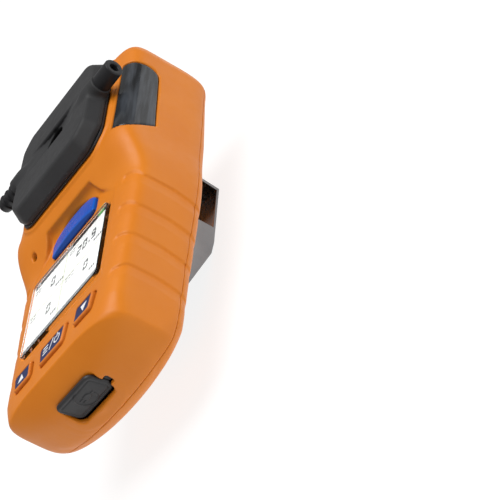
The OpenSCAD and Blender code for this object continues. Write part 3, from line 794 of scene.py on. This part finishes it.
def build_side_window(side):
    """The smoked window in one side of the case, 0.2 below its face."""
    x = axis(-36.4, -26, CASE_STEP) if side < 0 else axis(26, 36.4, CASE_STEP)
    y, z = axis(16, 57, CASE_STEP), axis(-7, 8, CASE_STEP)
    case = case_field(x, y, z)
    field = smooth_max(case + 0.2, window_field(x, y, z, -0.05), 0.5)
    name = "smoked_window_" + ("left" if side < 0 else "right")
    return skin(name, smooth_max(field, -case - 2, 0.3), (x, y, z), SMOKED)


DOME_X, DOME_Y, DOME_L, DOME_RISE = 15.5, 1.5, 9, 1.0
FACET_SLOPE = 0.42
FINE_STEP = 0.2


def build_lens():
    """The alarm lens: a low dome with a flat facet along its lower edge, and the flange that holds it."""
    lo, hi = node_box("alarm_lens")
    x, y = axis(lo[0] - 0.5, hi[0] + 0.5, FINE_STEP), axis(lo[1] - 0.5, hi[1] + 0.5, FINE_STEP)
    z = axis(lo[2] - 0.4, 2.8, FINE_STEP)
    X, Y, Z = grid(x, y, z)
    outline = upright(polygon_distance(lens_outline(), X, Y))
    across, along = unit_clip(1 - (X / DOME_X) ** 2), unit_clip(1 - ((Y - DOME_Y) / DOME_L) ** 2)
    dome = 0.1 + DOME_RISE * np.sqrt(across) * np.sqrt(along)
    facet = 0.1 + FACET_SLOPE * (Y + 2.6) + 0.3 * (X / LENS_HALF_W) ** 2
    body = smooth_max(outline, Z - upright(dome), 0.6)
    body = smooth_max(body, 0.8 * (Z - upright(facet)), 0.25)
    flange = smooth_max(np.maximum(outline - 1, Z + 2.9), -3.7 - Z, 0.2)
    lens = smooth_min(smooth_max(body, -3.5 - Z, 0.2), flange, 0.3)
    return skin("alarm_lens_cover", lens, (x, y, z), LENS_BLUE)


# ---- the display ----
SEGMENTS = {"0": "abcdef", "1": "bc", "2": "abged", "9": "abcdfg"}


def bar(x0, y0, x1, y1):
    """Outline of a rectangle between two corners."""
    return [(x0, y0), (x1, y0), (x1, y1), (x0, y1)]


def digit_bars(char, x, y, w, h, t):
    """The bars of a seven-segment digit with its lower left corner at x, y."""
    m = h / 2
    rows = {"a": h - t, "g": m - t / 2, "d": 0}
    columns = {"b": (w - t, m), "c": (w - t, 0), "f": (0, m), "e": (0, 0)}
    made = []
    for s in SEGMENTS[char]:
        if s in rows:
            made.append(bar(x + t * 0.35, y + rows[s], x + w - t * 0.35, y + rows[s] + t))
        else:
            cx, cy = columns[s]
            made.append(bar(x + cx, y + cy + t * 0.4, x + cx + t, y + cy + m - t * 0.4))
    return made


def number_bars(text, x, y, w, h, t, gap):
    """The bars of a number from x to the right; a point or a colon takes little room."""
    made = []
    for char in text:
        if char == ".":
            made.append(bar(x + 0.3, y, x + 0.3 + t, y + t))
            x += t + gap
        elif char == ":":
            made += [bar(x + 0.1, y + h * k, x + 0.1 + t, y + h * k + t) for k in (0.22, 0.62)]
            x += t + gap
        else:
            made += digit_bars(char, x, y, w, h, t)
            x += w + gap
    return made


def build_display():
    """The display panel: its picture is plain numbers, bars and lines on a grey field."""
    lo, hi = node_box("display_window")
    mx, my = (lo + hi)[:2] / 2
    w, l = (hi - lo)[:2] / 2 - 0.35
    top, bar_h, foot_h = -1.2, 2.4, 1.1
    field_top, field_low = my + l - bar_h, my - l + foot_h + 1.8
    grey, black, ink, light, green, line, band = range(7)
    parts = [(rounded(bar(mx - w, my - l, mx + w, my + l), 1.8), top - 0.5, top, grey)]

    def area(x0, y0, x1, y1, slot):
        parts.append((bar(mx + x0, y0, mx + x1, y1), top - 0.3, top + 0.02, slot))

    def print_bars(shapes, slot=ink):
        parts.extend((s, top, top + 0.05, slot) for s in shapes)

    area(0.15 - w, field_low, w - 0.15, field_top, grey)
    area(0.15 - w, my - l + 0.75, w - 0.15, field_low, band)
    area(1.6 - w, my - l + 0.02, w - 1.6, my - l + 0.75, black)
    area(0.9 - w, field_top, w - 0.9, my + l - 0.3, black)
    cross_x, cross_y = mx - 1.4, (field_top + field_low) / 2 + 0.3
    parts.append((bar(cross_x - 0.2, field_low, cross_x + 0.2, field_top), top, top + 0.03, line))
    parts.append((bar(mx - w + 0.5, cross_y - 0.15, mx + w - 0.5, cross_y + 0.15), top, top + 0.035, line))

    reading = dict(w=2.6, h=4.0, t=0.75, gap=0.9)
    for text, x, y in (("0", -10, 5.6), ("20.9", 5.4, 5.6), ("0", -10, -6.4), ("0", 12, -6.4)):
        print_bars(number_bars(text, mx + x, my + y, **reading))
    for x, y, count in ((-20.3, 10.4, 2), (0.6, 10.4, 2), (-20.3, -1.6, 2), (0.6, -1.6, 3)):
        print_bars([bar(mx + x + 1.8 * i, my + y + k, mx + x + 1.8 * i + 1.3, my + y + k + 0.4)
                    for i in range(count) for k in (0, 1.3)])
    for x, y, count in ((-6.2, 3.0, 4), (16.2, 3.0, 4), (-6.2, -9.8, 3), (16.2, -9.8, 3)):
        starts = [mx + x + 1.2 * i for i in range(count)]
        print_bars([bar(x0, my + y, x0 + 0.8, my + y + 1.0) for x0 in starts])
    row = my + l - bar_h + 0.5
    print_bars(number_bars("12:00", mx - 4.2, row, w=1.0, h=1.5, t=0.25, gap=0.35), light)
    steps = [0.5 * i for i in range(3)]
    print_bars([bar(mx - 20, row + up, mx - 17.6 - up, row + up + 0.3) for up in steps], light)
    cell = [bar(mx + 16.6, row, mx + 19.8, row + 1.4), bar(mx + 20, row + 0.4, mx + 20.4, row + 1)]
    print_bars(cell, green)
    materials = [SCREEN_GREY, SCREEN_BLACK, SCREEN_INK, SCREEN_LIGHT, SCREEN_GREEN, SCREEN_LINE, SCREEN_BAND]
    return prisms("display_panel", parts, materials)


def build_window():
    """The clear plate over the display."""
    lo, hi = node_box("display_window")
    (mx, my), (w, l) = (lo + hi)[:2] / 2, (hi - lo)[:2] / 2
    outline = rounded(bar(mx - w, my - l, mx + w, my + l), 2.2, 10)
    plate = prisms("clear_plate", [(outline, lo[2], hi[2], 0)], [CLEAR], 0.28)
    plate.visible_shadow = False
    return plate


# ---- keys ----
SMALL_STEP = 0.16
LABEL_TOP = 0.62


def build_key(which):
    """A key: its cap with a pocket for the film, and the flange that holds it in."""
    edge = [p[0] for p in key_outline(which, 1.3)]
    x, y = axis(min(edge) - 0.4, max(edge) + 0.4, SMALL_STEP), axis(-55.8, -44.2, SMALL_STEP)
    z = axis(-4.4, 1.3, SMALL_STEP)
    X, Y, Z = grid(x, y, z)
    outline = upright(polygon_distance(key_outline(which), X, Y))
    body = smooth_max(smooth_max(outline, Z - 0.85, 0.75), -3.8 - Z, 0.2)
    body = cut(body, np.maximum(outline + 0.8, 0.3 - Z), 0.3)
    flange = smooth_max(smooth_max(outline - 1, Z + 3.2, 0.2), -4.05 - Z, 0.2)
    field = smooth_min(body, flange, 0.3)
    return skin(("key_cap_left", "key_cap_middle", "key_cap_right")[which + 1], field, (x, y, z), ORANGE_KEY)


def ring_sector(cx, cy, r, t, start, end, count=20):
    """Outline of a bent bar of radius r and thickness t, between two angles in degrees."""
    angles = [math.radians(start + (end - start) * i / count) for i in range(count + 1)]
    outer = [(cx + (r + t / 2) * math.cos(a), cy + (r + t / 2) * math.sin(a)) for a in angles]
    inner = [(cx + (r - t / 2) * math.cos(a), cy + (r - t / 2) * math.sin(a)) for a in reversed(angles)]
    return outer + inner


def key_marks(which):
    """The white signs: triangles on the outer keys, a menu sign, a stroke and a power sign between them."""
    y = -49.4
    if which:
        x, point = which * (KEY_PITCH + 0.5), -which
        return [[(x - 1.7, y - 1.2 * point), (x + 1.7, y - 1.2 * point), (x, y + 1.6 * point)]]
    menu = [bar(-4.9, y - 1.5 + 1.2 * i, -2.2, y - 1.0 + 1.2 * i) for i in range(3)]
    stroke = [(-1.2, y - 2.0), (-0.7, y - 2.0), (0.9, y + 1.8), (0.4, y + 1.8)]
    power = [ring_sector(3, y - 0.2, 1.45, 0.45, 125, 415), bar(2.78, y + 0.1, 3.22, y + 2.0)]
    return [*menu, stroke, *power]


def build_label(which):
    """The blue film in a key, with its white print."""
    parts = [(key_outline(which, -0.85), 0.3, LABEL_TOP, 0)]
    marks = [(shape, LABEL_TOP - 0.05, LABEL_TOP + 0.05, 1) for shape in key_marks(which)]
    name = ("film_left", "film_middle", "film_right")[which + 1]
    return prisms(name, parts + marks, [LABEL_BLUE, PRINT])


# ---- the charging port cover ----
END_PLACE = Matrix.Translation((0, COVER_Y, COVER_Z)) @ Matrix.Rotation(math.pi / 2 + END_TILT, 4, "X")


def build_cover():
    """The cover: a soft pad with a border line, a plug mark and the tab to its strip."""
    x, v, w = axis(-10, 10.4, SMALL_STEP), axis(-5.6, 5.6, SMALL_STEP), axis(-3.5, 1.2, SMALL_STEP)
    X, V, W = grid(x, v, w)
    outline = upright(rounded_box(X, V, 9.2, 4.85, 2.3))
    crown = 0.35 * upright(np.sqrt(unit_clip(1 - (X / 10.5) ** 2)))
    pad = smooth_max(smooth_max(outline, W - 0.15 - crown, 0.9), -0.9 - W, 0.2)
    line = np.hypot(np.abs(outline + 1.3), (W - 0.3 - crown) * 0.8) - 0.28
    pad = cut(pad, line, 0.3)
    plug = rounded([(-0.4, -1.1), (1.6, -1.1), (2.6, -0.5), (2.6, 0.5), (1.6, 1.1), (-0.4, 1.1)], 0.35, 4)
    mark = polygon_distance(plug, X - 0.4, V)
    for s in (-1, 1):
        mark = np.minimum(mark, rounded_box(X + 0.9, V - s * 0.6, 0.9, 0.25, 0.2))
    curl = polygon_distance(ring_sector(0.6, 0, 3.4, 0.5, 100, 345), X, V)
    mark = np.minimum(mark, np.minimum(curl, rounded_box(X - 3.6, V, 0.7, 0.25, 0.2)))
    raised = smooth_max(upright(mark), W - 0.38 - crown, 0.25)
    tab = upright(rounded_box(X - 8.3, V - TAB_V, 1.3, 1.2, 0.3))
    tab = smooth_max(tab, np.abs(W + 0.4) - 0.45, 0.3)
    inner = smooth_max(upright(rounded_box(X, V, 6, 2.7, 1.2)), np.abs(W + 1.3) - 0.6, 0.3)
    field = smooth_min(pad, smooth_max(raised, -0.2 - W, 0.1), 0.15)
    field = smooth_min(smooth_min(field, tab, 0.3), inner, 0.3)
    return skin("port_cover", field, (x, v, w), RUBBER, END_PLACE)


STRIP_STEP = 0.1


def build_tether():
    """The strip that holds the cover, with two cross grooves across it."""
    middle = COVER_HINGE_X + 0.8
    x, v = axis(middle - 1.1, middle + 1.1, STRIP_STEP), axis(TAB_V - 1.6, TAB_V + 1.6, STRIP_STEP)
    w = axis(-1.5, 0.5, STRIP_STEP)
    X, V, W = grid(x, v, w)
    body = upright(rounded_box(X - middle, V - TAB_V, 0.7, 1.2, 0.4))
    body = smooth_max(body, np.abs(W + 0.55) - 0.55, 0.35)
    grooves = [np.hypot(upright(X - cx), W) - 0.16 for cx in (middle - 0.2, middle + 0.3)]
    return skin("cover_strip", cut(body, np.minimum(*grooves), 0.1), (x, v, w), RUBBER, END_PLACE)


# ---- the calibration cap ----
CAP_LO, CAP_HI = node_box("cap_body")
CAP_TOP = HEAD_RISE + 7
CAP_STEP = 0.3
CAP_HALF, CAP_CORNER_R, CAP_EDGE_H = (24.7, 22), 7.4, 1.6
CAP_CHAMFER, DIAGONAL = 28.8, 0.7071
HOLLOW_HALF, HOLLOW_CORNER_R, HOLLOW_H = (22.2, 19.5), 5.6, 2
CAP_BOSS_R, CAP_BOSS_Z = 6, 0.2
WELL_R, WELL_Z, CAP_HOLE_R = 4.5, 1.4, 1.65
TROUGH_R, TROUGH_DEPTH, TROUGH_HALF_L = 48.8, 1.5, 4.5

# the nozzles: their axis, where the cap's stubs end, and the sleeve round them that swells outwards
NOZZLE_X, NOZZLE_Y, NOZZLE_Z = 27, SENSOR_Y + 1.2, HEAD_RISE + 4.6
NOZZLE_LEFT_X = 26
SLEEVE_R, SLEEVE_SWELL, SLEEVE_X, SLEEVE_L, SLEEVE_FROM_X = 1.9, 1.75, 14, 7, 9
BORE_R, BORE_X = 2.15, 22
RIBBED_X, PLAIN_X = -23, 22.2


def build_cap():
    """The cap: a shallow hollow body, a trough and a well for its screw, and the stubs of its nozzles."""
    x, y = axis(-27, 27.9, CAP_STEP), axis(CAP_LO[1] - 0.8, CAP_HI[1] + 0.8, CAP_STEP)
    z = axis(CAP_LO[2] - 0.6, 15.9, CAP_STEP)
    X, Y, Z = grid(x, y, z)
    xs, ys = upright(X), upright(Y) - (CAP_LO[1] + CAP_HI[1]) / 2
    from_low = Z - CAP_LO[2]
    rise = unit_clip((from_low - CAP_EDGE_H) / (CAP_TOP - CAP_LO[2] - CAP_EDGE_H))
    sides = rounded_box(xs, ys, CAP_HALF[0] - 2 * rise, CAP_HALF[1] - 3 * rise, CAP_CORNER_R - rise)
    corner = (np.abs(xs) + np.abs(ys)) * DIAGONAL - (CAP_CHAMFER - 2.4 * rise)
    form = smooth_max(smooth_max(sides, corner, 1.2) * 0.8, Z - CAP_TOP, 0.9)
    form = smooth_max(form, CAP_LO[2] - Z, 0.4)

    off_axis = np.hypot(upright(Y - NOZZLE_Y), Z - NOZZLE_Z)
    radius = SLEEVE_R + SLEEVE_SWELL * ease(unit_clip((np.abs(xs) - SLEEVE_X) / SLEEVE_L))
    sleeve = smooth_max(off_axis - radius, np.maximum(xs - NOZZLE_X, -xs - NOZZLE_LEFT_X), 0.5)
    form = smooth_min(form, np.maximum(sleeve, SLEEVE_FROM_X - np.abs(xs)), 1.6)

    trough = np.hypot(xs, Z - CAP_TOP - TROUGH_R + TROUGH_DEPTH) - TROUGH_R
    form = cut(form, np.maximum(trough, np.abs(ys) - TROUGH_HALF_L), 0.7)
    hollow = smooth_max(rounded_box(xs, ys, *HOLLOW_HALF, HOLLOW_CORNER_R), from_low - HOLLOW_H, 0.3)
    boss = np.minimum(CAP_BOSS_R - np.hypot(xs, ys), from_low - CAP_BOSS_Z)
    form = cut(form, np.maximum(hollow, boss), 0.3)
    form = cut(form, np.maximum(off_axis - BORE_R, BORE_X - np.abs(xs)), 0.2)
    hole = upright(np.hypot(X, Y - SENSOR_Y))
    form = cut(form, np.maximum(hole - WELL_R, CAP_LO[2] + WELL_Z - Z), 0.3)
    return skin("calibration_cap", cut(form, hole - CAP_HOLE_R, 0.2), (x, y, z), CAP_BLACK)


def along_x(x, side):
    """Puts a turned piece on the nozzle axis, from x outwards."""
    turn = Matrix.Rotation(side * math.pi / 2, 4, "Y")
    return Matrix.Translation((x, NOZZLE_Y, NOZZLE_Z)) @ turn


def build_ribbed_nozzle():
    """The left nozzle: three barbs on a narrow tube."""
    end = RIBBED_X - node_box("nozzle_left")[0][0]
    outer = [(1.4, 0), (2.1, 0), (2.1, 3.2), (2.5, 3.4)]
    for d in (4.0, 6.9, 9.8):
        outer += [(2.5, d), (3.0, d + 0.25), (2.95, d + 0.7), (2.45, d + 2.5)]
    profile = outer + [(2.35, end - 0.3), (2.1, end), (1.6, end), (1.4, end - 0.25)]
    return lathe("ribbed_nozzle", rounded(profile, 0.07, 2), NOZZLE, along_x(RIBBED_X, -1))


def build_plain_nozzle():
    """The right nozzle: a smooth tube with a rounded end."""
    end = node_box("nozzle_right")[1][0] - PLAIN_X
    start = NOZZLE_X - PLAIN_X - 0.1
    profile = [(1.5, 0), (2.1, 0), (2.1, start), (3.2, start), (3.2, end - 0.3), (2.9, end),
               (1.8, end), (1.5, end - 0.3)]
    return lathe("plain_nozzle", rounded(profile, 0.14, 4), NOZZLE, along_x(PLAIN_X, 1))


# ---- everything on its body ----
def place_pieces():
    """Builds each piece, lets it ride on its body and hides the CAD node it stands for."""
    sides = (("left", -1), ("right", 1))
    keys = (("up", -1), ("menu", 0), ("down", 1))
    made = [(build_front(), "case", "front_shell", "orange_shell"),
            (build_rear(), "case", "rear_shell", "orange_shell"),
            (build_lens(), "case", "alarm_lens", "blue_lens"),
            (build_display(), "case", "display_module", "display_panel"),
            (build_window(), "case", "display_window", "clear_window"),
            (build_cover(), "usb_cover", "usb_cover", "black_rubber"),
            (build_tether(), "case", "usb_tether", "black_rubber"),
            (build_cap(), "cap", "cap_body", "cap_plastic"),
            (build_ribbed_nozzle(), "cap", "nozzle_left", "nozzle_plastic"),
            (build_plain_nozzle(), "cap", "nozzle_right", "nozzle_plastic")]
    made += [(build_side_window(s), "case", f"side_window_{n}", "smoked_window") for n, s in sides]
    made += [(build_key(s), f"key_{n}", f"key_{n}", "orange_key") for n, s in keys]
    made += [(build_label(s), f"key_{n}", f"label_{n}", "key_label") for n, s in keys]
    for piece, body, node, slot in made:
        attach(piece, body)
        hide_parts(node)


FINISHES = {
    "case_seal": (SEAL, 0), "alarm_leds": (LED, 0.15), "sensor_gaskets": (GASKET, 0.2),
    "sensor_filters": (FILTER, 0.08), "combustible_sensor": (SENSOR_STEEL, 0.3),
    "oxygen_sensor": (SENSOR_WHITE, 0.3), "carbon_monoxide_sensor": (SENSOR_WHITE, 0.3),
    "hydrogen_sulfide_sensor": (SENSOR_WHITE, 0.3), "sensor_board": (BOARD, 0.1),
    "main_board": (BOARD, 0.1), "key_switches": (SWITCH, 0.2), "battery": (BATTERY, 0.8),
    "buzzer": (SWITCH, 0.3), "vibration_motor": (BRIGHT_STEEL, 0.15), "usb_socket": (BRIGHT_STEEL, 0.15),
    "screw_insert": (BRASS, 0.1), "case_screws": (BRIGHT_STEEL, 0.15),
    "board_screws": (BRIGHT_STEEL, 0.15), "clip_base": (CLIP_STEEL, 0.2),
    "clip_screws": (BRIGHT_STEEL, 0.2), "clip_pin": (BRIGHT_STEEL, 0.25),
    "clip_spring": (SPRING_STEEL, 0), "clip_lever": (CLIP_STEEL, 0.22),
    "cap_gasket": (RUBBER, 0.15), "cap_screw": (BLACK_STEEL, 0.2)}


def finish_nodes():
    """Gives each CAD node that stays in view its material and soft edges."""
    for name, (material, bevel) in FINISHES.items():
        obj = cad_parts[name]
        obj.data.materials.clear()
        obj.data.materials.append(material)
        if bevel:
            soften(obj, bevel, 2, 35)


add_camera()
add_studio()
place_pieces()
finish_nodes()
